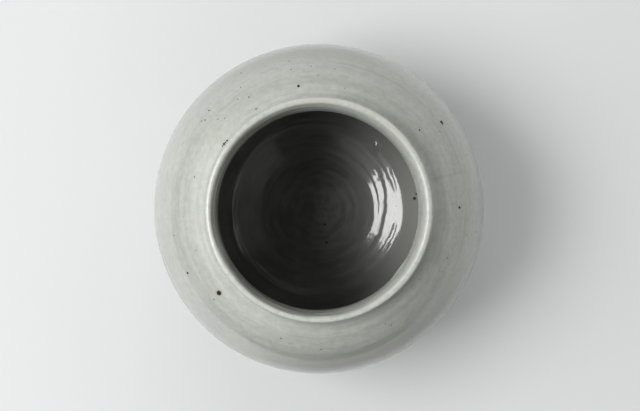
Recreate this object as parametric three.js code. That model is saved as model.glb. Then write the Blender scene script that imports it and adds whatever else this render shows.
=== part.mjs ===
// A wheel-thrown stoneware jar with a round belly, a short upright neck and a trimmed foot ring.
// The fired clay is one solid of revolution. Each glaze coat is a thin solid of its own, fused to the clay:
// a pale coat outside, over the lip and down the neck, and a dark liner inside.
// Millimetres, +Z up. The origin is the centre of the foot's resting face.
import * as THREE from "three";

// Belly and wall, as bare clay
const BELLY_RADIUS = 82;
const BELLY_HEIGHT = 58;
const WALL = 4.2;

// How full each stretch of the wall is: 2 is an ellipse, more is fuller
const LOWER_POWER = 2;
const SHOULDER_POWER = 4;
const BOWL_POWER = 3;

// Foot ring, trimmed on the wheel
const FOOT_RADIUS = 43;
const FOOT_WIDTH = 6.5;
const FOOT_HEIGHT = 7;
const FOOT_DRAFT = 1.2;
const FOOT_BEVEL = 0.8;
const RECESS_DEPTH = 5.5;
const FLOOR_THICKNESS = 6;

// Neck and lip
const SHOULDER_HEIGHT = 137.5;
const NECK_RADIUS = 48.2;
const NECK_HEIGHT = 13.5;
const NECK_WALL = 3.45;
const NECK_FLARE = 0.55;
const LIP_WALL = 2.3;
const LIP_CREST = 1.35;
const LIP_DROP = 0.95;
const LIP_LEAN = 24;
const ROOT_FILLET = 4;
const THROAT_ROUND = 4;

// Glaze coats
const GLAZE = 0.5;
const GLAZE_EDGE = 0.25;
const GLAZE_SEAT = 0.02;

// Facets
const TURN_SEGMENTS = 40;
const BELLY_STEPS = 9;
const SHOULDER_STEPS = 11;
const CORNER_STEPS = 4;
const LIP_STEPS = 3;

const at = (radius, height) => new THREE.Vector2(radius, height);

// One side of the wall, widest at the belly's level. A rise below 0 is the side below that level.
class BellyArc {
  constructor(widest, rise, power) {
    this.widest = widest;
    this.rise = rise;
    this.power = power;
  }

  // The arc that reaches a given radius at a given height.
  static through(widest, power, radius, height) {
    return new BellyArc(widest, (height - BELLY_HEIGHT) / Math.sqrt(1 - (radius / widest) ** power), power);
  }

  height(radius) {
    return BELLY_HEIGHT + this.rise * Math.sqrt(1 - (radius / this.widest) ** this.power);
  }

  slope(radius) {
    const filled = (radius / this.widest) ** this.power;
    return ((-this.rise * this.power) / 2 / radius) * (filled / Math.sqrt(1 - filled));
  }

  points(fromRadius, toRadius, steps) {
    const from = Math.acos((fromRadius / this.widest) ** (this.power / 2));
    const to = Math.acos((toRadius / this.widest) ** (this.power / 2));
    return Array.from({ length: steps + 1 }, (_, i) => {
      const angle = from + ((to - from) * i) / steps;
      return at(this.widest * Math.cos(angle) ** (2 / this.power), BELLY_HEIGHT + this.rise * Math.sin(angle));
    });
  }

  // The round between the arc and an upright wall at that radius, tangent to both, from the arc to the wall.
  corner(wallRadius, reach, steps) {
    const start = at(wallRadius + reach, this.height(wallRadius + reach));
    const meet = at(wallRadius, start.y - this.slope(start.x) * reach);
    const end = at(wallRadius, meet.y + start.distanceTo(meet));
    return new THREE.QuadraticBezierCurve(start, meet, end).getPoints(steps);
  }
}

// Outside of the clay, from the top of the foot ring up and over the lip to the throat.
const springRadius = FOOT_RADIUS - FOOT_DRAFT;
const throatRadius = NECK_RADIUS - NECK_WALL;
const lipRadius = NECK_RADIUS + NECK_FLARE;
const lipTop = SHOULDER_HEIGHT + NECK_HEIGHT;
const lowerBelly = BellyArc.through(BELLY_RADIUS, LOWER_POWER, springRadius, FOOT_HEIGHT);
const shoulder = BellyArc.through(BELLY_RADIUS, SHOULDER_POWER, NECK_RADIUS, SHOULDER_HEIGHT);

// Inside of the clay, from the throat down to the middle of the floor.
const floorTop = RECESS_DEPTH + FLOOR_THICKNESS;
const innerShoulder = new BellyArc(BELLY_RADIUS - WALL, shoulder.rise - WALL, SHOULDER_POWER);
const innerBelly = BellyArc.through(BELLY_RADIUS - WALL, BOWL_POWER, 0, floorTop);
const throatCorner = innerShoulder.corner(throatRadius, THROAT_ROUND, CORNER_STEPS).reverse();

// The lip rolls over its crest. Inside, a flank that leans out at the lip comes down upright to the throat.
const lean = Math.tan(THREE.MathUtils.degToRad(LIP_LEAN));
const lipCrest = at(lipRadius - LIP_CREST, lipTop);
const flankTop = at(lipRadius - LIP_WALL, lipTop - LIP_DROP);
const flankMeet = at(throatRadius, flankTop.y - (flankTop.x - throatRadius) / lean);
const lipCurves = [
  new THREE.QuadraticBezierCurve(at(lipRadius, flankTop.y), at(lipRadius, lipTop), lipCrest),
  new THREE.QuadraticBezierCurve(lipCrest, at(flankTop.x + LIP_DROP * lean, lipTop), flankTop),
  new THREE.QuadraticBezierCurve(flankTop, flankMeet, throatCorner[0]),
];

const outside = [
  ...lowerBelly.points(springRadius, BELLY_RADIUS, BELLY_STEPS),
  ...shoulder.points(BELLY_RADIUS, NECK_RADIUS + ROOT_FILLET, SHOULDER_STEPS).slice(1),
  ...shoulder.corner(NECK_RADIUS, ROOT_FILLET, CORNER_STEPS).slice(1),
  ...lipCurves.flatMap((curve, i) => curve.getPoints(LIP_STEPS).slice(i && 1)),
];
const inside = [
  ...throatCorner,
  ...innerShoulder.points(throatRadius + THROAT_ROUND, innerShoulder.widest, SHOULDER_STEPS).slice(1),
  ...innerBelly.points(innerBelly.widest, 0, BELLY_STEPS).slice(1),
];
const foot = [
  at(0, RECESS_DEPTH),
  at(FOOT_RADIUS - FOOT_WIDTH - FOOT_DRAFT, RECESS_DEPTH),
  at(FOOT_RADIUS - FOOT_WIDTH, FOOT_BEVEL),
  at(FOOT_RADIUS - FOOT_WIDTH + FOOT_BEVEL, 0),
  at(FOOT_RADIUS - FOOT_BEVEL, 0),
  at(FOOT_RADIUS, FOOT_BEVEL),
];

// A line that follows the clay at a distance, on the side facing the air, with another distance at its edges.
function followed(clay, distance, edgeDistance) {
  return clay.map((point, i) => {
    const before = clay[Math.max(i - 1, 0)];
    const after = clay[Math.min(i + 1, clay.length - 1)];
    const along = after.clone().sub(before).normalize();
    const onAxis = point.x < 1e-6;
    const atEdge = !onAxis && (i === 0 || i === clay.length - 1);
    const off = onAxis ? at(0, 1) : at(along.y, -along.x);
    return point.clone().addScaledVector(off, atEdge ? edgeDistance : distance);
  });
}

// The section of a coat: back along its seat on the clay, then forward along its free face.
function coatSection(clay) {
  const seat = followed(clay, GLAZE_SEAT, GLAZE_SEAT).reverse();
  const face = followed(clay, GLAZE, GLAZE_EDGE);
  const startsOnAxis = seat[0].x < 1e-6;
  return startsOnAxis ? [...seat, ...face] : [...seat, ...face, seat[0]];
}

function turned(name, section, material) {
  const geometry = new THREE.LatheGeometry(section, TURN_SEGMENTS).rotateX(Math.PI / 2);
  const mesh = new THREE.Mesh(geometry, material);
  mesh.name = name;
  return mesh;
}

const stoneware = new THREE.MeshStandardMaterial({ color: 0xb9a893, roughness: 0.85, metalness: 0 });
const paleGlaze = new THREE.MeshStandardMaterial({ color: 0xbabcb5, roughness: 0.12, metalness: 0 });
const darkGlaze = new THREE.MeshStandardMaterial({ color: 0x7c7c78, roughness: 0.08, metalness: 0 });

const jar = new THREE.Group();
jar.add(turned("stoneware_body", [...foot, ...outside, ...inside.slice(1)], stoneware));
jar.add(turned("outer_glaze", coatSection(outside), paleGlaze));
jar.add(turned("inner_glaze", coatSection(inside), darkGlaze));

export default jar;
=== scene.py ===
import math

import bpy
import numpy as np
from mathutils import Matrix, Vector


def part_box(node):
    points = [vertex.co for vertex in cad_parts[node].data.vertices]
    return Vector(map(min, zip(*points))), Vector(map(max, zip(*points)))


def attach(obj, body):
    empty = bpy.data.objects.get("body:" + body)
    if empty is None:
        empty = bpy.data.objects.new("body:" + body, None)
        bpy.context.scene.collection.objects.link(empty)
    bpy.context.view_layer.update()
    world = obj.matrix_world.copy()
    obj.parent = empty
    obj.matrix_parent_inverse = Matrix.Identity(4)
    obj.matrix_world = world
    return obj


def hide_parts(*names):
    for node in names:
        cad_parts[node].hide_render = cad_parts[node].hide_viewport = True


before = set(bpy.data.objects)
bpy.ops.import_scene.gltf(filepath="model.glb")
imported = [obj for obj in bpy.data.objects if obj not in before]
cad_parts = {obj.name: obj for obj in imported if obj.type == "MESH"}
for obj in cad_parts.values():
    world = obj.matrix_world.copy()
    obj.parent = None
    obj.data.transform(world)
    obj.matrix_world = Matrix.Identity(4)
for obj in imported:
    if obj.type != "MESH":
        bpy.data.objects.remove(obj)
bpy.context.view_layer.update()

MM = 0.001

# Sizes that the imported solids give. The coats sit a little off the clay.
SEAT = 0.02
_, clay_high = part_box("stoneware_body")
_, coat_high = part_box("outer_glaze")
liner_low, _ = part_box("inner_glaze")
BELLY_RADIUS = clay_high.x / MM
LIP_TOP = clay_high.z / MM
GLAZE = (coat_high.x - clay_high.x) / MM
FLOOR_TOP = liner_low.z / MM - SEAT

# Belly, shoulder and wall of the clay, which no box gives
BELLY_HEIGHT = 58.0
SHOULDER_HEIGHT = 137.5
LOWER_POWER = 2.0
SHOULDER_POWER = 4.0
BOWL_POWER = 3.0
WALL = 4.2
# Foot ring and the recess under it
FOOT_RADIUS = 43.0
FOOT_WIDTH = 6.5
FOOT_HEIGHT = 7.0
FOOT_DRAFT = 1.2
FOOT_ROUND = 0.8
RECESS_DEPTH = 5.5
RECESS_ROUND = 1.0
# Neck, lip and throat
NECK_RADIUS = 48.2
NECK_FLARE = 0.55
ROOT_FILLET = 4.0
LIP_WALL = 2.3
LIP_CREST = 1.35
LIP_DROP = 0.95
LIP_LEAN = 24.0
THROAT_RADIUS = 44.75
THROAT_ROUND = 4.0

# Camera: straight down, with the picture's size and focal length in pixels
PICTURE = (640, 411)
FOCAL_PX = 1200.0
CAMERA_AT = (0.52, 1.65, 670.0)
SENSOR_MM = 36.0

# How finely the pieces are made: sections round the jar, step along its line and points on each form
TURNS = 360
LINE_STEP = 0.1
ARC_POINTS = 200
BEND_POINTS = 40
ROUND_POINTS = 8
SEAT_POINTS = 90
SAME_PLACE = 1e-6


# Shape of the clay

def arc(widest, rise, power, start, end):
    """Points on a curve that is widest at the belly's level, between two radii. Power 2 is an ellipse."""
    first, last = (math.acos((radius / widest) ** (power / 2)) for radius in (start, end))
    angles = np.linspace(first, last, ARC_POINTS)
    return np.column_stack((widest * np.cos(angles) ** (2 / power), BELLY_HEIGHT + rise * np.sin(angles)))


def rise_through(widest, power, radius, height):
    """The rise of the curve that reaches a radius at a height."""
    return (height - BELLY_HEIGHT) / math.sqrt(1 - (radius / widest) ** power)


def bend(start, meet, end):
    """A round that leaves its start towards the meeting point and comes from there to its end."""
    t = np.linspace(0, 1, BEND_POINTS)[:, None]
    return (1 - t) ** 2 * np.array(start) + 2 * t * (1 - t) * np.array(meet) + t ** 2 * np.array(end)


def corner(widest, rise, power, wall, reach):
    """The round from the curve to an upright wall, tangent to both."""
    radius = wall + reach
    root = math.sqrt(1 - (radius / widest) ** power)
    fall = rise * power / 2 * (radius / widest) ** power / radius / root
    start = (radius, BELLY_HEIGHT + rise * root)
    meet = (wall, start[1] + fall * reach)
    return bend(start, meet, (wall, meet[1] + math.dist(start, meet)))


def resampled(line, step):
    """The same line with even steps along it, and the distance of each point from its start."""
    gaps = np.linalg.norm(np.diff(line, axis=0), axis=1)
    line = line[np.concatenate(([True], gaps > SAME_PLACE))]
    along = np.concatenate(([0], np.cumsum(np.linalg.norm(np.diff(line, axis=0), axis=1))))
    even = np.linspace(0, along[-1], int(along[-1] / step) + 1)
    return np.column_stack([np.interp(even, along, line[:, k]) for k in (0, 1)]), even


spring_radius = FOOT_RADIUS - FOOT_DRAFT
inner_radius = BELLY_RADIUS - WALL
lower_rise = rise_through(BELLY_RADIUS, LOWER_POWER, spring_radius, FOOT_HEIGHT)
upper_rise = rise_through(BELLY_RADIUS, SHOULDER_POWER, NECK_RADIUS, SHOULDER_HEIGHT)
inner_upper_rise = upper_rise - WALL
inner_lower_rise = FLOOR_TOP - BELLY_HEIGHT
throat = corner(inner_radius, inner_upper_rise, SHOULDER_POWER, THROAT_RADIUS, THROAT_ROUND)[::-1]
lip_radius = NECK_RADIUS + NECK_FLARE
lip_crest = (lip_radius - LIP_CREST, LIP_TOP)
lean = math.tan(math.radians(LIP_LEAN))
flank_top = (lip_radius - LIP_WALL, LIP_TOP - LIP_DROP)
flank_meet = (THROAT_RADIUS, flank_top[1] - (flank_top[0] - THROAT_RADIUS) / lean)

# One line up the outside, over the lip and down the inside to the middle of the floor
clay_line, clay_s = resampled(np.concatenate((
    arc(BELLY_RADIUS, lower_rise, LOWER_POWER, spring_radius, BELLY_RADIUS),
    arc(BELLY_RADIUS, upper_rise, SHOULDER_POWER, BELLY_RADIUS, NECK_RADIUS + ROOT_FILLET),
    corner(BELLY_RADIUS, upper_rise, SHOULDER_POWER, NECK_RADIUS, ROOT_FILLET),
    bend((lip_radius, flank_top[1]), (lip_radius, LIP_TOP), lip_crest),
    bend(lip_crest, (flank_top[0] + LIP_DROP * lean, LIP_TOP), flank_top),
    bend(flank_top, flank_meet, throat[0]),
    throat,
    arc(inner_radius, inner_upper_rise, SHOULDER_POWER, THROAT_RADIUS + THROAT_ROUND, inner_radius),
    arc(inner_radius, inner_lower_rise, BOWL_POWER, inner_radius, 0),
)), LINE_STEP)
clay_along = np.gradient(clay_line, clay_s, axis=0)
clay_along /= np.linalg.norm(clay_along, axis=1)[:, None]
clay_off = np.column_stack((clay_along[:, 1], -clay_along[:, 0]))


def nearest_s(point):
    """Distance along the clay line of the sample nearest to a point of the section."""
    return clay_s[np.argmin(np.linalg.norm(clay_line - np.array(point), axis=1))]


S_BELLY = clay_s[np.argmax(clay_line[:, 0])]
S_LIP = clay_s[np.argmax(clay_line[:, 1])]
S_THROAT = nearest_s(throat[0])
S_INNER_BELLY = nearest_s((inner_radius, BELLY_HEIGHT))
S_FLOOR = clay_s[-1]
# The two stretches of the line that the camera sees
SHOULDER = (S_BELLY, S_LIP)
BOWL = (S_INNER_BELLY, S_FLOOR)


def on_line(s, distance):
    """Radius and height at a distance off the clay, for arrays of places along its line."""
    radius = np.interp(s, clay_s, clay_line[:, 0]) + distance * np.interp(s, clay_s, clay_off[:, 0])
    height = np.interp(s, clay_s, clay_line[:, 1]) + distance * np.interp(s, clay_s, clay_off[:, 1])
    return radius, height


def seen_at(pixel, stretch):
    """The point that the camera sees at a pixel on one stretch of the line, and its place along the line."""
    s = np.arange(*stretch, LINE_STEP)
    radius, height = on_line(s, GLAZE)
    depth = CAMERA_AT[2] - height
    x = CAMERA_AT[0] + (pixel[0] - PICTURE[0] / 2) / FOCAL_PX * depth
    y = CAMERA_AT[1] - (pixel[1] - PICTURE[1] / 2) / FOCAL_PX * depth
    best = np.argmin(np.abs(np.hypot(x, y) - radius))
    return np.array((x[best], y[best], height[best])), s[best]


def s_of_pixel_radius(pixels, stretch):
    """Place along the clay line that shows at that many pixels from the jar's middle."""
    scale = FOCAL_PX / (CAMERA_AT[2] - BELLY_HEIGHT)
    middle = (PICTURE[0] / 2 - CAMERA_AT[0] * scale, PICTURE[1] / 2 + CAMERA_AT[1] * scale)
    return seen_at((middle[0] + pixels, middle[1]), stretch)[1]


# Curves that the small forms are made of. Angles are in degrees.

def smooth(x, low, high):
    """0 below low, 1 above high, smooth between."""
    t = np.clip((x - low) / (high - low), 0, 1)
    return t * t * (3 - 2 * t)


def bell(x, middle, width):
    """1 in the middle and falling off smoothly to both sides."""
    return np.exp(-(((x - middle) / width) ** 2))


def turned_apart(angle, middle):
    """Difference of two angles, from -180 to 180."""
    return (angle - middle + 180) % 360 - 180


def between(angle, low, high, fade):
    """1 for angles well between two others, 0 outside them."""
    away = np.abs(turned_apart(angle, (low + high) / 2))
    return 1 - smooth(away, (high - low) / 2 - fade, (high - low) / 2 + fade)


def waves(angle, terms):
    """A gentle wander round the jar, from (turns, size, start angle) terms."""
    return sum(size * np.cos(np.radians(count * angle - start)) for count, size, start in terms)


def spiral(along, angle, pitch, way, wander, count):
    """A wave along the section that moves on by one pitch in each turn, wandering a few times on its way."""
    wandering = wander * np.sin(np.radians(count * angle))
    return np.sin(2 * math.pi * (along / pitch + way * angle / 360) + wandering)


# What the hand left: a lip and a throat a little off centre and out of round
LIP_SHIFT = (0.02, -0.22)
THROAT_SHIFT = (-0.32, -0.54)
OVAL = 0.005
LEAN_REACH = 30.0


def placed(radius, height, s, angle):
    """Points of the jar from radius, height, place along the line and angle in radians."""
    places = (S_LIP - LEAN_REACH, S_LIP, S_THROAT, S_THROAT + LEAN_REACH)
    shift_x, shift_y = (np.interp(s, places, (0, LIP_SHIFT[k], THROAT_SHIFT[k], 0)) for k in (0, 1))
    oval = np.interp(s, places, (0, OVAL, OVAL, 0))
    x = shift_x + radius * np.cos(angle) * (1 + oval)
    y = shift_y + radius * np.sin(angle) * (1 - oval)
    return np.stack(np.broadcast_arrays(x, y, height), axis=-1)


# Small forms outside

# Throwing rings on the shoulder: how far out they show in pixels, depth, width and the angles between which
# they run
SHOULDER_RINGS = [
    (137, -0.06, 1.2, -200, 40),
    (128, 0.06, 1.4, -150, 60),
    (123, -0.05, 1.0, -220, 20),
    (119.5, -0.08, 0.6, -40, 40),
]
SHOULDER_RING_FADE = 25.0
# A shallow spiral on the shoulder, which starts between two distances in pixels
SPIRAL_PITCH = 6.2
SPIRAL_HEIGHT = 0.035
SPIRAL_WANDER = 0.8
SPIRAL_WANDERINGS = 2
SPIRAL_START = (152, 140)
# An uneven wall. Like the spiral, it ends between two distances from the lip.
UNEVEN_HEIGHT = 0.05
UNEVEN_WALL = [(3, 0.6, 20), (5, 0.4, 80)]
LIP_CLEAR = (6, 16)
# A run of glaze inside the mouth: where, how high, how far above the glaze line, how long and how wide in
# degrees
RUN_ANGLE = -36.0
RUN_HEIGHT = 0.8
RUN_ABOVE = 1.0
RUN_LENGTH = 2.2
RUN_WIDTH = 8.0


def outer_relief(s, angle):
    """Height of the small forms outside. Where the belly is widest they only sink in."""
    total = np.zeros_like(s)
    for pixels, depth, width, angle_from, angle_to in SHOULDER_RINGS:
        place = s_of_pixel_radius(pixels, SHOULDER)
        total += depth * bell(s, place, width) * between(angle, angle_from, angle_to, SHOULDER_RING_FADE)
    on_wall = smooth(S_LIP - s, *LIP_CLEAR)
    on_shoulder = smooth(s, *(s_of_pixel_radius(pixels, SHOULDER) for pixels in SPIRAL_START))
    wave = spiral(s, angle, SPIRAL_PITCH, -1, SPIRAL_WANDER, SPIRAL_WANDERINGS)
    total += SPIRAL_HEIGHT * (wave - 1) * on_wall * on_shoulder
    total += UNEVEN_HEIGHT * (waves(angle, UNEVEN_WALL) - 1) * on_wall
    across_run = bell(turned_apart(angle, RUN_ANGLE), 0, RUN_WIDTH)
    total += RUN_HEIGHT * bell(s, S_THROAT - RUN_ABOVE, RUN_LENGTH) * across_run
    return total


# Small forms inside

# Throwing rings in the bowl: it steepens up to each ring and is nearly flat on it. How far out a ring shows
# in pixels, how that drifts in pixels per degree, how much it drops, how long it steepens before, how wide it
# is and the angles between which it runs
BOWL_RINGS = [
    (59.7, 0.0, 0.10, 3.5, 1.1, -6, 60),
    (65.6, 0.085, 0.25, 4.5, 3.0, -70, 70),
    (79.2, 0.03, 0.20, 5.0, 1.4, 12, 50),
    (79.2, 0.03, 0.20, 5.0, 1.4, -50, -10),
]
RING_END = 4.0
# To the sides the rings get wider and deeper
RING_SPREAD = 25.0
RING_SPREAD_MOST = 1.5
RING_DEEPEN = 0.4
# The rings sway a little, in pixels, with so many waves in a turn
RING_SWAY = 0.2
SWAY_COUNTS = (11, 19, 31, 53)
SWAY_SHIFT = 2.1
# Where the bowl turns steeper: from and to in pixels, by how much, and how that bends in to the sides. It
# fades out to the sides, and up the wall between two distances from the middle of the floor.
BOWL_KNEES = [(53.8, 61.0, 0.14, 0.0), (83.0, 97.0, 0.30, 0.0035)]
KNEE_BEND_END = 50.0
KNEE_SIDE = 80.0
KNEE_SIDE_FADE = 30.0
KNEE_END = (60, 100)
# A spiral in the bowl, deeper on its floor, which starts a little out of the middle
BOWL_PITCH = 5.4
BOWL_SPIRAL_HEIGHT = 0.004
BOWL_SPIRAL_WANDER = 0.5
BOWL_SPIRAL_WANDERINGS = 3
BOWL_SPIRAL_START = (2, 8)
FLOOR_SPIRAL_HEIGHT = 0.042
FLOOR_SPIRAL_END = (18, 30)
# Fine ripples
RIPPLES = 14
RIPPLE_SEED = 7
RIPPLE_HEIGHT = 0.0025
RIPPLE_COUNTS = (-14, 15)
RIPPLE_LENGTHS = (3.0, 8.0)
RIPPLE_START = (4, 20)
# One grain
GRAIN_PIXEL = (376.6, 147.0)
GRAIN_HEIGHT = 0.75
GRAIN_SIZE = (1.2, 2.4)
GRAIN_BELOW_BELLY = 10.0

# How far up the bowl from the middle of its floor the places are that show so many pixels out
BOWL_PIXELS = np.arange(40, 101, 2)
BOWL_OUT = [S_FLOOR - s_of_pixel_radius(pixels, BOWL) for pixels in BOWL_PIXELS]


def out_at(pixels):
    """How far up the bowl a place is that shows so many pixels out."""
    return np.interp(pixels, BOWL_PIXELS, BOWL_OUT)


def bowl_rings(out, angle):
    """Height of the throwing rings."""
    apart = turned_apart(angle, 0)
    spread = np.minimum((apart / RING_SPREAD) ** 2, RING_SPREAD_MOST)
    total = np.zeros_like(out)
    for index, (pixels, drift, drop, rise_length, width, angle_from, angle_to) in enumerate(BOWL_RINGS):
        sway = sum(np.sin(np.radians(count * apart) + SWAY_SHIFT * index + count) for count in SWAY_COUNTS)
        place = out_at(pixels + drift * apart + RING_SWAY * sway)
        half = width / 2 * (1 + spread)
        rise = np.clip((out - place + rise_length) / rise_length, 0, 1) ** 2
        step = smooth(out, place - half, place + half)
        deep = drop * (1 + RING_DEEPEN * spread)
        total += deep * (rise - step) * between(angle, angle_from, angle_to, RING_END)
    return total


def bowl_knees(out, angle):
    """Height of the places where the bowl turns steeper."""
    bent = np.minimum(np.abs(turned_apart(angle, 0)), KNEE_BEND_END) ** 2
    on_side = between(angle, -KNEE_SIDE, KNEE_SIDE, KNEE_SIDE_FADE)
    total = np.zeros_like(out)
    for pixels_from, pixels_to, height, bend_in in BOWL_KNEES:
        knee = smooth(out, out_at(pixels_from - bend_in * bent), out_at(pixels_to - bend_in * bent))
        total += height * knee * on_side * (1 - smooth(out, *KNEE_END))
    return total


def bowl_spiral(out, angle):
    """Height of the spiral."""
    height = BOWL_SPIRAL_HEIGHT + FLOOR_SPIRAL_HEIGHT * (1 - smooth(out, *FLOOR_SPIRAL_END))
    wave = spiral(out, angle, BOWL_PITCH, 1, BOWL_SPIRAL_WANDER, BOWL_SPIRAL_WANDERINGS)
    return height * wave * smooth(out, *BOWL_SPIRAL_START)


def ripples(out, angle):
    """Height of a fine unevenness from waves that cross each other at random."""
    chance = np.random.default_rng(RIPPLE_SEED)
    total = np.zeros_like(out)
    for _ in range(RIPPLES):
        count = chance.integers(*RIPPLE_COUNTS)
        length = chance.uniform(*RIPPLE_LENGTHS)
        start = chance.uniform(0, 2 * math.pi)
        total += np.sin(2 * math.pi * out / length + np.radians(count * angle) + start)
    return RIPPLE_HEIGHT * total * smooth(out, *RIPPLE_START)


def grain(s, angle):
    """Height of the grain, which is on the bowl and not on the shoulder's inside above it."""
    middle, _ = seen_at(GRAIN_PIXEL, BOWL)
    radius, _ = on_line(s, 0)
    across = radius * np.cos(np.radians(angle)) - middle[0]
    up_picture = radius * np.sin(np.radians(angle)) - middle[1]
    on_bowl = smooth(s, S_INNER_BELLY, S_INNER_BELLY + GRAIN_BELOW_BELLY)
    return GRAIN_HEIGHT * on_bowl * bell(across, 0, GRAIN_SIZE[0]) * bell(up_picture, 0, GRAIN_SIZE[1])


def inner_relief(s, angle):
    """Height of the small forms inside."""
    out = S_FLOOR - s
    total = bowl_rings(out, angle) + bowl_knees(out, angle) + bowl_spiral(out, angle)
    return total + ripples(out, angle) + grain(s, angle)


# Meshes

turn = np.arange(TURNS) * 2 * math.pi / TURNS
turn_deg = np.degrees(turn)


def mesh_piece(name, points, poles=None):
    """A closed piece from points[turn, step]. Without poles each section closes on itself."""
    turns, steps = points.shape[:2]
    index = np.arange(turns * steps).reshape(turns, steps)
    across = np.roll(index, -1, axis=0)
    if poles is None:
        quads = np.stack((index, across, np.roll(across, -1, axis=1), np.roll(index, -1, axis=1)), axis=-1)
    else:
        quads = np.stack((index[:, :-1], across[:, :-1], across[:, 1:], index[:, 1:]), axis=-1)
    vertices = points.reshape(-1, 3)
    faces = quads.reshape(-1, 4).tolist()
    if poles is not None:
        first, last = turns * steps, turns * steps + 1
        vertices = np.concatenate((vertices, np.array(poles)))
        faces += [(first, b, a) for a, b in zip(index[:, 0].tolist(), across[:, 0].tolist())]
        faces += [(a, b, last) for a, b in zip(index[:, -1].tolist(), across[:, -1].tolist())]
    mesh = bpy.data.meshes.new(name)
    mesh.from_pydata((vertices * MM).tolist(), [], faces)
    mesh.update()
    mesh.shade_smooth()
    piece = bpy.data.objects.new(name, mesh)
    bpy.context.scene.collection.objects.link(piece)
    return piece


# Glaze coats: how far in their edges are rounded, how thick they are at the edge, and over how many rounds
# the small forms set in
EDGE_ROUND = 0.8
EDGE_THICK = 0.04
RELIEF_ROUNDS = 3
# The pale coat's edge above the foot, and the line in the throat where the two coats meet
FOOT_LINE_ABOVE = 1.6
FOOT_LINE = [(2, 0.35, 40), (5, 0.3, 10), (9, 0.2, 70), (17, 0.1, 0)]
THROAT_LINE = [(3, 0.25, 60), (7, 0.15, 20), (13, 0.08, 50)]
LINE_GAP = 0.05


def along_coat(start, end, steps):
    """Places along the clay line and angles, for each turn and step between a coat's two ends."""
    s = start[:, None] + (end - start)[:, None] * steps[None, :]
    return s, np.broadcast_to(turn[:, None], s.shape)


def coat_face(start, end, steps, relief, both_edges):
    """Free face of a coat. It thins out to its start, and to its end too if that is an edge."""
    s, angle = along_coat(start, end, steps)
    from_edge = s - start[:, None]
    if both_edges:
        from_edge = np.minimum(from_edge, end[:, None] - s)
    share = np.clip(from_edge / EDGE_ROUND, 0, 1)
    thin_glaze_and_painted_light = SEAT + EDGE_THICK
    thick = thin_glaze_and_painted_light + (GLAZE - thin_glaze_and_painted_light) * np.sqrt(1 - (1 - share) ** 2)
    body = smooth(from_edge, 0, RELIEF_ROUNDS * EDGE_ROUND)
    radius, height = on_line(s, thick + body * relief(s, np.degrees(angle)))
    return placed(radius, height, s, angle)


def coat_seat(start, end):
    """Underside of a coat, just off the clay, from its end back to its start and without these two."""
    s, angle = along_coat(start, end, np.linspace(1, 0, SEAT_POINTS)[1:-1])
    radius, height = on_line(s, SEAT)
    return placed(radius, height, s, angle)


def bunched(ranges):
    """Steps from 0 to 1 with a chosen spacing in each stretch of (length, spacing)."""
    places = [0.0]
    for length, spacing in ranges:
        count = max(1, round(length / spacing))
        places += [places[-1] + length * (k + 1) / count for k in range(count)]
    return np.array(places) / places[-1]


# Pale coat, stepped finely at its edges, on the neck and most of all on the lip. Each stretch is a length and
# a spacing. The lengths only share out the steps, so they needn't add up.
foot_edge = FOOT_LINE_ABOVE + waves(turn_deg, FOOT_LINE)
throat_edge = S_THROAT + waves(turn_deg, THROAT_LINE)
COAT_EDGE = (3, 0.15)
LOWER_STRETCH = (S_BELLY - 10, 1.2)
SHOULDER_STRETCH = (S_LIP - S_BELLY - 20, 0.5)
NECK_STRETCH = (16, 0.3)
LIP_STRETCH = (8, 0.1)
THROAT_STRETCH = (S_THROAT - S_LIP - 7, 0.3)
coat_steps = bunched([
    COAT_EDGE, LOWER_STRETCH, SHOULDER_STRETCH, NECK_STRETCH, LIP_STRETCH, THROAT_STRETCH, COAT_EDGE,
])
outer_face = coat_face(foot_edge, throat_edge, coat_steps, outer_relief, True)
outer_glaze = mesh_piece("outer_glaze_coat", np.concatenate((
    coat_seat(foot_edge, throat_edge), outer_face,
), axis=1))

# Dark liner, stepped finely at its edge and in the part of the bowl that shows
LINER_EDGE = (3, 0.2)
BOWL_STRETCH = (60.0, 0.22)
HIDDEN_STRETCH = (S_FLOOR - S_THROAT - BOWL_STRETCH[0] - LINER_EDGE[0], 1.0)
liner_start = throat_edge + LINE_GAP
liner_end = np.full(TURNS, S_FLOOR)
liner_steps = bunched([LINER_EDGE, HIDDEN_STRETCH, BOWL_STRETCH])
inner_face = coat_face(liner_start, liner_end, liner_steps, inner_relief, False)
liner_poles = ((0, 0, FLOOR_TOP + SEAT), (0, 0, inner_face[:, -1, 2].mean()))
inner_glaze = mesh_piece("inner_glaze_liner", np.concatenate((
    coat_seat(liner_start, liner_end), inner_face[:, :-1],
), axis=1), liner_poles)

# Clay: the foot with its rounded edges, then a line just under the one that both coats sit on
CLAY_INSET = 0.03
CLAY_INSET_START = (0.5, 1.2)
RECESS_MIDDLE = 0.8
RECESS_POINTS = 40
FOOT_POINTS = 14
# The bare clay above the foot is made more finely than the rest
BARE_REACH = 4
BARE_POINTS = 20
COVERED_POINTS = 160


def rounded(middle, size, first, last):
    """A round of the section about a point, between two angles in degrees."""
    angles = np.radians(np.linspace(first, last, ROUND_POINTS))
    return np.column_stack((middle[0] + size * np.cos(angles), middle[1] + size * np.sin(angles)))


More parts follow.
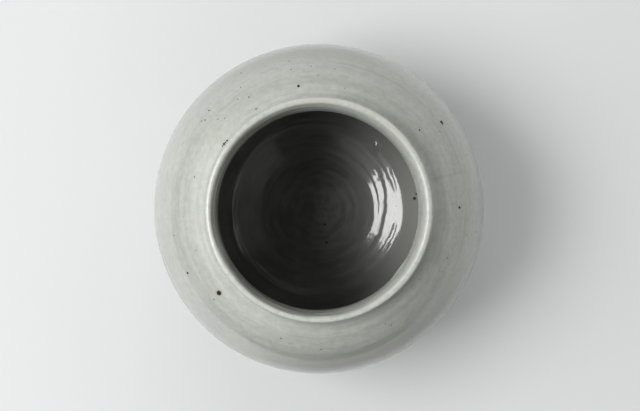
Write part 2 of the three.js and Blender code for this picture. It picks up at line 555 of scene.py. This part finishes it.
recess_radius = FOOT_RADIUS - FOOT_WIDTH
recess_flat = recess_radius - FOOT_DRAFT - RECESS_ROUND
foot_section = np.concatenate((
    np.linspace((RECESS_MIDDLE, RECESS_DEPTH), (recess_flat, RECESS_DEPTH), RECESS_POINTS),
    rounded((recess_flat, RECESS_DEPTH - RECESS_ROUND), RECESS_ROUND, 90, 0),
    rounded((recess_radius + FOOT_ROUND, FOOT_ROUND), FOOT_ROUND, 180, 270),
    rounded((FOOT_RADIUS - FOOT_ROUND, FOOT_ROUND), FOOT_ROUND, 270, 360),
    np.linspace((FOOT_RADIUS, FOOT_ROUND), (spring_radius, FOOT_HEIGHT), FOOT_POINTS)[1:],
))
wall_s = np.concatenate((
    np.linspace(0, BARE_REACH, BARE_POINTS)[1:],
    np.linspace(BARE_REACH, S_FLOOR, COVERED_POINTS)[1:-1],
))
wall_section = np.column_stack(on_line(wall_s, -CLAY_INSET * smooth(wall_s, *CLAY_INSET_START)))
clay_section = np.concatenate((foot_section, wall_section))
clay_place = np.concatenate((np.zeros(len(foot_section)), wall_s))
clay_points = placed(clay_section[None, :, 0], clay_section[None, :, 1], clay_place[None, :], turn[:, None])
clay_poles = ((0, 0, RECESS_DEPTH), (0, 0, FLOOR_TOP - CLAY_INSET))
stoneware = mesh_piece("stoneware_jar", clay_points, clay_poles)


# Materials

LEVEL = (1, 1, 0)
# Specks are round as seen from above, so a height counts little in how far off one is
SEEN_FROM_ABOVE = (1.0, 1.0, 0.2)
# A speck's outline wobbles, and it fades out between two shares of its radius
SPECK_WOBBLE = 0.25
SPECK_WOBBLE_SCALE = 900
SPECK_FADE = (0.6, 1.25)
# The smallest grain of dust as a share of its size, and the shares of its reach between which it fades out
DUST_LEAST = 0.4
DUST_FADE = (0.6, 1.1)
BUMP_DEPTH = 0.4


class Nodes:
    """A tree of nodes, with short calls to add to it."""

    def __init__(self, tree):
        self.tree = tree

    def add(self, kind, inputs=(), **settings):
        node = self.tree.nodes.new(kind)
        for key, value in settings.items():
            setattr(node, key, value)
        for key, value in dict(inputs).items():
            self.feed(node.inputs[key], value)
        return node

    def feed(self, socket, value):
        """Links a socket to another one, or sets it to a plain value."""
        if isinstance(value, bpy.types.NodeSocket):
            self.tree.links.new(value, socket)
        else:
            socket.default_value = value

    def maths(self, operation, *values):
        return self.add("ShaderNodeMath", enumerate(values), operation=operation).outputs[0]

    def vector(self, operation, *values, output="Vector"):
        return self.add("ShaderNodeVectorMath", enumerate(values), operation=operation).outputs[output]

    def scaled(self, vector, factor):
        inputs = {0: vector, "Scale": factor}
        return self.add("ShaderNodeVectorMath", inputs, operation="SCALE").outputs["Vector"]

    def level_length(self, vector):
        """How long a vector is as seen from above."""
        return self.vector("LENGTH", self.vector("MULTIPLY", vector, LEVEL), output="Value")

    def ramp(self, value, low, high, to_low=0.0, to_high=1.0):
        inputs = {"Value": value, "From Min": low, "From Max": high, "To Min": to_low, "To Max": to_high}
        return self.add("ShaderNodeMapRange", inputs, interpolation_type="SMOOTHSTEP").outputs["Result"]


class Shader(Nodes):
    """A material made of nodes."""

    def __init__(self, name):
        self.material = bpy.data.materials.new(name)
        self.material.use_nodes = True
        super().__init__(self.material.node_tree)
        self.surface = self.tree.nodes["Principled BSDF"]
        self.place = self.add("ShaderNodeTexCoord").outputs["Object"]
        self.from_axis = self.level_length(self.place)

    def give(self, name, value):
        """Feeds one of the surface's own sockets."""
        self.feed(self.surface.inputs[name], value)

    def noise(self, place, scale, detail=2.0, rough=0.5, output="Fac"):
        inputs = {"Vector": place, "Scale": scale, "Detail": detail, "Roughness": rough}
        return self.add("ShaderNodeTexNoise", inputs).outputs[output]

    def patches(self, place, low, high, scale, detail, rough=0.5):
        """A noise drawn apart into patches: 0 where it is under low, 1 where it is over high."""
        return self.ramp(self.noise(place, scale, detail, rough), low, high)

    def mix(self, share, first, second):
        """A mix of two colours. Other kinds of mix have sockets of the same names, so these go by number."""
        return self.add("ShaderNodeMix", {0: share, 6: first, 7: second}, data_type="RGBA").outputs[2]

    def height(self):
        return self.add("ShaderNodeSeparateXYZ", {"Vector": self.place}).outputs["Z"]

    def ring_place(self, round_scale, along_scale):
        """Coordinates for streaks that run round the jar: slow round it and quick along its section."""
        along = self.maths("SUBTRACT", self.from_axis, self.height())
        lift = self.add("ShaderNodeCombineXYZ", {"Z": self.maths("MULTIPLY", along, along_scale)})
        direction = self.vector("NORMALIZE", self.vector("MULTIPLY", self.place, LEVEL))
        return self.vector("ADD", self.scaled(direction, round_scale), lift.outputs["Vector"])

    def on_side(self, side, low, high):
        """0 to 1 by how far a place lies towards one side, between two distances in millimetres."""
        reach = self.vector("DOT_PRODUCT", self.place, side, output="Value")
        return self.ramp(reach, low * MM, high * MM)

    def shoulder_ring(self, pixels, width, share):
        """A ring on the shoulder that shows so many pixels out: its share there, 0 past its width."""
        radius, _ = on_line(s_of_pixel_radius(pixels, SHOULDER), GLAZE)
        away = self.maths("ABSOLUTE", self.maths("SUBTRACT", self.from_axis, float(radius) * MM))
        return self.ramp(away, 0, width * MM, share, 0.0)

    def specks(self, spots, stretch):
        """How much of a speck is at each place, from (pixel, radius in millimetres) pairs."""
        noise = self.noise(self.place, SPECK_WOBBLE_SCALE, output="Color")
        wobble = self.scaled(self.vector("SUBTRACT", noise, (0.5, 0.5, 0.5)), SPECK_WOBBLE * MM)
        place = self.vector("MULTIPLY", self.vector("ADD", self.place, wobble), SEEN_FROM_ABOVE)
        total = 0.0
        for pixel, radius in spots:
            point, _ = seen_at(pixel, stretch)
            away = self.vector("DISTANCE", place, tuple(point * MM * SEEN_FROM_ABOVE), output="Value")
            share = self.ramp(away, *(radius * MM * edge for edge in SPECK_FADE), 1.0, 0.0)
            total = self.maths("MAXIMUM", total, share)
        return total

    def dust(self, scale, share, size, strength):
        """Fine specks strewn at random: one in some of the cells."""
        cells = self.add("ShaderNodeTexVoronoi", {"Vector": self.place, "Scale": scale})
        chance = self.add("ShaderNodeSeparateColor", {"Color": cells.outputs["Color"]})
        there = self.maths("GREATER_THAN", chance.outputs["Red"], 1 - share)
        reach = self.maths("MULTIPLY", self.maths("ADD", chance.outputs["Green"], DUST_LEAST), size)
        close = self.maths("DIVIDE", cells.outputs["Distance"], reach)
        return self.maths("MULTIPLY", there, self.ramp(close, *DUST_FADE, strength, 0.0))

    def bump(self, scale, detail, strength):
        """A fine unevenness that only tilts the surface's shading."""
        height = self.noise(self.place, scale, detail)
        inputs = {"Height": height, "Strength": strength, "Distance": BUMP_DEPTH * MM}
        self.give("Normal", self.add("ShaderNodeBump", inputs).outputs["Normal"])


IRON = (0.025, 0.020, 0.014, 1)

# Pale glaze

PALE = (0.536, 0.552, 0.509, 1)
PALE_DEEP = (0.42, 0.431, 0.393, 1)
# A grey tone, used for real grey glaze and also for painted shade
PALE_GREY_AND_PAINTED_SHADE = (0.36, 0.365, 0.335, 1)
PALE_WARM = (0.50, 0.48, 0.415, 1)
PALE_LIP = (0.52, 0.532, 0.492, 1)
# Painted shade for the neck's inside
NECK_PAINTED_SHADE = (0.20, 0.20, 0.185, 1)
HALO = (0.38, 0.34, 0.20, 1)
PALE_ROUGHNESS = (0.14, 0.20)
# How shiny the glaze is, and how shiny it is at its dullest, on an iron speck
SHINE = (0.5, 0.06)
PALE_BUMP = {"scale": 500, "detail": 3, "strength": 0.06}
# Clouds, streaks and mottle, and how much each of them deepens the tone
PALE_CLOUD = {"low": 0.35, "high": 0.7, "scale": 28, "detail": 4}
PALE_STREAK = {"low": 0.35, "high": 0.7, "scale": 3.0, "detail": 3, "rough": 0.6}
PALE_STREAK_PLACE = {"round_scale": 1.6, "along_scale": 150}
PALE_MOTTLE = {"low": 0.3, "high": 0.7, "scale": 300, "detail": 4, "rough": 0.75}
CLOUD_SHARE = 0.2
STREAK_SHARE = 0.32
MOTTLE_SHARE = 0.64
# The lip's own tone sets in between two heights from its top. It is worn and thin in patches.
LIP_TONE = (-1.5, 0.2)
LIP_WORN = {"low": 0.42, "high": 0.72, "scale": 330, "detail": 4, "rough": 0.7}
LIP_WORN_SHARE = 0.55
LIP_THIN = {"low": 0.52, "high": 0.75, "scale": 70, "detail": 3}
# Rings of thinner and thicker glaze on the shoulder: how far out they show in pixels, how wide, how strong
# and their tone
GLAZE_RINGS = [
    (119.5, 0.8, 0.30, PALE_GREY_AND_PAINTED_SHADE),
    (123.7, 0.9, 0.45, PALE_LIP),
    (129.0, 2.0, 0.30, PALE_GREY_AND_PAINTED_SHADE),
    (136.6, 0.8, 0.50, PALE_LIP),
    (142.0, 2.5, 0.15, PALE_GREY_AND_PAINTED_SHADE),
    (147.2, 1.0, 0.50, PALE_GREY_AND_PAINTED_SHADE),
]
RING_PATCHES = {"low": 0.3, "high": 0.65, "scale": 30, "detail": 2}
# Painted shade on one side, where the glaze is also duller: in the crease under the lip to the lower right,
# and on the rim to the lower right and to the top. How far out it shows in pixels, how wide, how strong, the
# side, and from and to along that side
PAINTED_SIDE_SHADES = [
    (114.5, 2.4, 0.80, (0.50, -0.87, 0.0), 22, 46),
    (158.0, 11.0, 0.95, (0.40, -0.92, 0.0), 38, 72),
    (158.0, 10.0, 0.65, (-0.17, 0.98, 0.0), 48, 76),
]
DULL_SHARE = 0.75
# Painted shade on the neck's inside, on its left and lower left, which face away from the key light: how far
# in from the neck, the side, and from and to along that side
NECK_PAINTED_SHADES = [
    (2.8, (-0.98, -0.20, 0.0), -32, 12),
    (1.6, (-0.70, -0.71, 0.0), 2, 36),
]
NECK_SHADE_FADE = 1.0
NECK_SHADE_SHARE = 0.75
# Streaks that break up the neck's painted shade
NECK_STREAK = {"low": 0.3, "high": 0.65, "scale": 1.0, "detail": 1}
NECK_STREAK_PLACE = {"round_scale": 2.0, "along_scale": 900}
# Iron dust: how many cells in a metre, the share of cells that have some, its size in a cell, and how strong
PALE_DUST = [(330, 0.2, 0.09, 0.6), (650, 0.3, 0.2, 0.16)]
# Iron specks that the picture shows, read to half a pixel, and radius in millimetres
SHOULDER_SPECKS = [
    ((219, 293), 1.25), ((441.5, 122), 0.80), ((442.5, 123.5), 0.55), ((298.5, 86), 0.68),
    ((459.5, 207.5), 0.60), ((187.5, 273), 0.56), ((419.5, 130), 0.42), ((209, 110.5), 0.42),
    ((249, 97), 0.38), ((205, 120), 0.36), ((201.5, 121), 0.34), ((281, 338.5), 0.32),
    ((214, 299.5), 0.30), ((476, 232), 0.32), ((218, 119), 0.28), ((224.5, 118.5), 0.26),
    ((384.5, 355), 0.32), ((321, 349.5), 0.30), ((240.5, 87), 0.30), ((241, 73), 0.30),
    ((256, 109), 0.36), ((194.5, 177), 0.30), ((238, 99.5), 0.28), ((174, 235.5), 0.28),
    ((335, 69), 0.26), ((291, 69.5), 0.28), ((289, 61), 0.26), ((311.5, 66), 0.26),
    ((440, 131.5), 0.28), ((467, 154.5), 0.26), ((467, 235), 0.26), ((447.5, 258), 0.28),
    ((412, 336.5), 0.28), ((391.5, 325.5), 0.26),
    ((222.5, 146), 0.34), ((224, 144), 0.55), ((225.5, 142.5), 0.36), ((227, 140.5), 0.48),
]
HALO_SPECKS = [((219, 293), 2.0), ((224.5, 143), 1.9)]
HALO_SHARE = 0.3
# A faint line across the right of the shoulder, from one pixel to another
LINE_FROM = (432.5, 179.5)
LINE_TO = (465.0, 171.3)
LINE_SPOTS = 12
LINE_RADIUS = 0.9
LINE_SHARE = 0.1
FAINT_LINE = [(pixel, LINE_RADIUS) for pixel in np.linspace(LINE_FROM, LINE_TO, LINE_SPOTS)]


def pale_tone(shader, cloud):
    """The glaze's own tone, deeper in clouds, in streaks round the jar and in a fine mottle."""
    streak = shader.patches(shader.ring_place(**PALE_STREAK_PLACE), **PALE_STREAK)
    mottle = shader.patches(shader.place, **PALE_MOTTLE)
    depth = 0.0
    for part, share in ((cloud, CLOUD_SHARE), (streak, STREAK_SHARE), (mottle, MOTTLE_SHARE)):
        depth = shader.maths("ADD", depth, shader.maths("MULTIPLY", part, share))
    return shader.mix(depth, PALE, PALE_DEEP)


def with_rings(shader, colour):
    """Adds the rings of thinner and thicker glaze, in patches."""
    patchy = shader.patches(shader.place, **RING_PATCHES)
    for pixels, width, share, tone in GLAZE_RINGS:
        ring = shader.shoulder_ring(pixels, width, share)
        colour = shader.mix(shader.maths("MULTIPLY", ring, patchy), colour, tone)
    return colour


def with_painted_side_shades(shader, colour):
    """Adds painted shade on one side of the shoulder, and gives how dull the glaze is there."""
    dull = 0.0
    for pixels, width, share, side, low, high in PAINTED_SIDE_SHADES:
        ring = shader.shoulder_ring(pixels, width, share)
        grey = shader.maths("MULTIPLY", ring, shader.on_side(side, low, high))
        # The glaze is greyed here as painted shade
        colour = shader.mix(grey, colour, PALE_GREY_AND_PAINTED_SHADE)
        dull = shader.maths("MAXIMUM", dull, shader.maths("MULTIPLY", grey, DULL_SHARE))
    return colour, dull


def with_lip(shader, colour):
    """Adds the lip's tone, which is grey where it is worn and warm where the glaze is laid thinly."""
    on_lip = shader.ramp(shader.height(), *((LIP_TOP + above) * MM for above in LIP_TONE))
    worn = shader.patches(shader.place, **LIP_WORN)
    worn_tone = shader.mix(shader.maths("MULTIPLY", worn, LIP_WORN_SHARE), PALE_LIP, PALE_GREY_AND_PAINTED_SHADE)
    thin_glaze_and_painted_light = shader.patches(shader.place, **LIP_THIN)
    colour = shader.mix(on_lip, colour, worn_tone)
    return shader.mix(shader.maths("MULTIPLY", on_lip, thin_glaze_and_painted_light), colour, PALE_WARM)


def with_painted_neck_shade(shader, colour):
    """Adds the painted shade inside the neck on its left, drawn out round it in streaks."""
    grey = 0.0
    for inset, side, low, high in NECK_PAINTED_SHADES:
        edge = NECK_RADIUS - inset
        deep = shader.ramp(shader.from_axis, edge * MM, (edge + NECK_SHADE_FADE) * MM, NECK_SHADE_SHARE, 0.0)
        grey = shader.maths("MAXIMUM", grey, shader.maths("MULTIPLY", deep, shader.on_side(side, low, high)))
    drawn = shader.patches(shader.ring_place(**NECK_STREAK_PLACE), **NECK_STREAK)
    return shader.mix(shader.maths("MULTIPLY", grey, drawn), colour, NECK_PAINTED_SHADE)


def with_iron(shader, colour):
    """Adds the faint line, the halos, the dust and the specks, and gives where the specks are."""
    line = shader.specks(FAINT_LINE, SHOULDER)
    colour = shader.mix(shader.maths("MULTIPLY", line, LINE_SHARE), colour, IRON)
    halo = shader.specks(HALO_SPECKS, SHOULDER)
    colour = shader.mix(shader.maths("MULTIPLY", halo, HALO_SHARE), colour, HALO)
    for grains in PALE_DUST:
        colour = shader.mix(shader.dust(*grains), colour, IRON)
    iron = shader.specks(SHOULDER_SPECKS, SHOULDER)
    return shader.mix(iron, colour, IRON), iron


def pale_glaze():
    shader = Shader("pale_glaze")
    cloud = shader.patches(shader.place, **PALE_CLOUD)
    colour = with_rings(shader, pale_tone(shader, cloud))
    colour, dull = with_painted_side_shades(shader, colour)
    colour = with_painted_neck_shade(shader, with_lip(shader, colour))
    colour, iron = with_iron(shader, colour)
    shader.give("Base Color", colour)
    shader.give("Specular IOR Level", shader.ramp(shader.maths("MAXIMUM", dull, iron), 0, 1, *SHINE))
    shader.give("Roughness", shader.ramp(cloud, 0, 1, *PALE_ROUGHNESS))
    shader.bump(**PALE_BUMP)
    return shader.material


# Dark glaze

CHARCOAL = (0.25, 0.25, 0.237, 1)
CHARCOAL_DEEP = (0.14, 0.14, 0.131, 1)
# Lighter charcoal, painted light on the bowl's lit right side
CHARCOAL_PAINTED_LIGHT = (0.34, 0.34, 0.322, 1)
DARK_ROUGHNESS = (0.05, 0.09)
DARK_IOR = 1.54
DARK_CLOUD = {"low": 0.35, "high": 0.7, "scale": 40, "detail": 3}
DARK_STREAK = {"low": 0.35, "high": 0.7, "scale": 3.0, "detail": 2}
DARK_STREAK_PLACE = {"round_scale": 0.6, "along_scale": 130}
# A faint haze over the gloss
HAZE = 0.3
HAZE_ROUGHNESS = 0.38
# Painted light on the bowl's right, where the lamp shines in through the mouth: between two distances from
# the middle, on one side, from and to along that side
PAINTED_LIGHT_OUT = (14, 40)
PAINTED_LIGHT_SIDE = (0.97, 0.25, 0.0)
PAINTED_LIGHT_ALONG = (4, 40)
BOWL_SPECKS = [
    ((414.5, 198.5), 0.9), ((416, 194), 0.5), ((325, 224.5), 0.65), ((326.5, 242.5), 0.65),
    ((396, 206), 0.5),
]


def dark_glaze():
    shader = Shader("dark_glaze")
    cloud = shader.patches(shader.place, **DARK_CLOUD)
    streak = shader.patches(shader.ring_place(**DARK_STREAK_PLACE), **DARK_STREAK)
    depth = shader.maths("MULTIPLY", shader.maths("ADD", cloud, streak), 0.5)
    # Painted light on the bowl's lit right side
    painted_light_out = shader.ramp(shader.from_axis, *(radius * MM for radius in PAINTED_LIGHT_OUT))
    thin_glaze_and_painted_light = shader.maths("MULTIPLY", painted_light_out, shader.on_side(PAINTED_LIGHT_SIDE, *PAINTED_LIGHT_ALONG))
    colour = shader.mix(thin_glaze_and_painted_light, shader.mix(depth, CHARCOAL, CHARCOAL_DEEP), CHARCOAL_PAINTED_LIGHT)
    shader.give("Base Color", shader.mix(shader.specks(BOWL_SPECKS, BOWL), colour, IRON))
    shader.give("Roughness", shader.ramp(cloud, 0, 1, *DARK_ROUGHNESS))
    shader.give("IOR", DARK_IOR)
    shader.give("Coat Weight", HAZE)
    shader.give("Coat Roughness", HAZE_ROUGHNESS)
    return shader.material


# Bare clay

CLAY = (0.47, 0.38, 0.28, 1)
CLAY_DEEP = (0.36, 0.28, 0.20, 1)
CLAY_ROUGHNESS = (0.75, 0.9)
CLAY_CLOUD = {"low": 0.3, "high": 0.7, "scale": 60, "detail": 5}
CLAY_BUMP = {"scale": 900, "detail": 4, "strength": 0.3}
CLAY_DUST = (420, 0.25, 0.2, 0.7)


def bare_clay():
    shader = Shader("bare_clay")
    cloud = shader.patches(shader.place, **CLAY_CLOUD)
    colour = shader.mix(cloud, CLAY, CLAY_DEEP)
    shader.give("Base Color", shader.mix(shader.dust(*CLAY_DUST), colour, IRON))
    shader.give("Roughness", shader.ramp(cloud, 0, 1, *CLAY_ROUGHNESS))
    shader.bump(**CLAY_BUMP)
    return shader.material


DRESSED = [
    (stoneware, "stoneware_body", "stoneware", bare_clay()),
    (outer_glaze, "outer_glaze", "pale_glaze", pale_glaze()),
    (inner_glaze, "inner_glaze", "dark_glaze", dark_glaze()),
]
for piece, node, slot, material in DRESSED:
    piece.data.materials.append(material)
    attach(piece, "root")
    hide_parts(node)


# Floor: a white table that ends to the left and below, out of the picture, and goes on to the other two sides

TABLE_LOW = (-0.285, -0.215)
TABLE_HIGH = (1.0, 1.0)
FLOOR_COLOUR = (0.72, 0.735, 0.735, 1)
FLOOR_ROUGHNESS = 0.9

bpy.ops.mesh.primitive_plane_add(size=1)
floor = bpy.context.object
floor.name = "floor"
floor.scale = (TABLE_HIGH[0] - TABLE_LOW[0], TABLE_HIGH[1] - TABLE_LOW[1], 1)
floor.location = ((TABLE_HIGH[0] + TABLE_LOW[0]) / 2, (TABLE_HIGH[1] + TABLE_LOW[1]) / 2, 0)
floor_shader = Shader("floor")
floor_shader.give("Base Color", FLOOR_COLOUR)
floor_shader.give("Roughness", FLOOR_ROUGHNESS)
floor.data.materials.append(floor_shader.material)


# Key light from the left: two panes, the lower one wider

KEY_AZIMUTH = 180.0
KEY_ELEVATION = 63.5
KEY_DISTANCE = 1.2
# Each pane's width, and from where to where it reaches above the key's middle
KEY_PANES = {"upper_key": (0.44, 0.05, 0.20), "lower_key": (0.64, -0.20, 0.05)}
KEY_WATTS_PER_AREA = 35.0

azimuth, elevation = math.radians(KEY_AZIMUTH), math.radians(KEY_ELEVATION)
toward_key = Vector((
    math.cos(azimuth) * math.cos(elevation), math.sin(azimuth) * math.cos(elevation), math.sin(elevation),
))
key_turn = toward_key.to_track_quat("Z", "Y")
key_middle = Vector((0, 0, BELLY_HEIGHT * MM)) + toward_key * KEY_DISTANCE
for name, (width, low, high) in KEY_PANES.items():
    pane = bpy.data.lights.new(name, "AREA")
    pane.shape = "RECTANGLE"
    pane.size = width
    pane.size_y = high - low
    pane.energy = KEY_WATTS_PER_AREA * width * (high - low)
    key = bpy.data.objects.new(name, pane)
    key.location = key_middle + key_turn @ Vector((0, (low + high) / 2, 0))
    key.rotation_euler = key_turn.to_euler()
    bpy.context.scene.collection.objects.link(key)


# Room

# Its walls, each up to where the next one starts: the direction it starts at in degrees, how softly it
# starts, and how bright it is in five bands from the table's level up to the ceiling
WALLS = [
    (-55, 0.06, (0.0, 0.0, 0.0, 1.3, 0.33)),
    (-15, 0.20, (0.9, 0.2, 0.1, 1.2, 0.2)),
    (30, 0.20, (0.4, 0.0, 0.0, 2.3, 0.06)),
    (72, 0.20, (0.0, 0.0, 0.4, 4.2, 0.05)),
    (113, 0.01, (0.0, 0.25, 0.55, 1.2, 0.05)),
    (150, 0.20, (0.6, 1.3, 2.4, 0.35, 0.8)),
    (205, 0.20, (0.6, 1.05, 0.5, 0.4, 0.35)),
    (250, 0.20, (0.1, 0.0, 0.0, 2.6, 0.06)),
]
# Where each band and then the ceiling starts, as the height of a direction of length 1
BAND_EDGES = (-0.07, 0.12, 0.35, 0.64, 0.79, 0.96)
BAND_FADE = 0.03
CEILING = 0.033
LEAST_LEVEL = 1e-4
WHITE = (1, 1, 1, 1)
BACKDROP_COLOUR = (0.78, 0.79, 0.79, 1)

world = bpy.data.worlds.new("room")
bpy.context.scene.world = world
world.use_nodes = True
room = Nodes(world.node_tree)
toward = room.add("ShaderNodeTexCoord").outputs["Generated"]
east, north, up = room.add("ShaderNodeSeparateXYZ", {"Vector": toward}).outputs
level = room.maths("MAXIMUM", room.level_length(toward), LEAST_LEVEL)
above = [room.ramp(up, edge - BAND_FADE, edge + BAND_FADE) for edge in BAND_EDGES]


def past(degrees, fade):
    """1 where a direction is past an angle round the jar, 0 where it is short of it."""
    turned = math.radians(degrees)
    from_north = room.maths("MULTIPLY", north, math.cos(turned))
    from_east = room.maths("MULTIPLY", east, math.sin(turned))
    side = room.maths("DIVIDE", room.maths("SUBTRACT", from_north, from_east), level)
    return room.ramp(side, -fade, fade)


strength = 0.0
starts = [past(degrees, fade) for degrees, fade, _ in WALLS]
for (_, _, bands), start, end in zip(WALLS, starts, starts[1:] + starts[:1]):
    bright = 0.0
    for share, lower, upper in zip(above, (0.0, *bands), (*bands, CEILING)):
        bright = room.maths("ADD", bright, room.maths("MULTIPLY", share, upper - lower))
    inside = room.maths("MULTIPLY", start, room.maths("SUBTRACT", 1.0, end))
    strength = room.maths("ADD", strength, room.maths("MULTIPLY", inside, bright))

# The camera itself sees a plain pale backdrop past the table
background = room.tree.nodes["Background"]
room.feed(background.inputs["Color"], WHITE)
room.feed(background.inputs["Strength"], strength)
backdrop = room.add("ShaderNodeBackground", {"Color": BACKDROP_COLOUR, "Strength": 1.0})
shown = room.add("ShaderNodeMixShader", {
    0: room.add("ShaderNodeLightPath").outputs["Is Camera Ray"],
    1: background.outputs["Background"],
    2: backdrop.outputs["Background"],
})
room.feed(room.tree.nodes["World Output"].inputs["Surface"], shown.outputs["Shader"])


# Camera

camera_data = bpy.data.cameras.new("camera")
camera_data.sensor_width = SENSOR_MM
camera_data.lens = SENSOR_MM * FOCAL_PX / PICTURE[0]
camera = bpy.data.objects.new("camera", camera_data)
camera.location = Vector(CAMERA_AT) * MM
bpy.context.scene.collection.objects.link(camera)
bpy.context.scene.camera = camera

bpy.context.scene.view_settings.view_transform = "Standard"
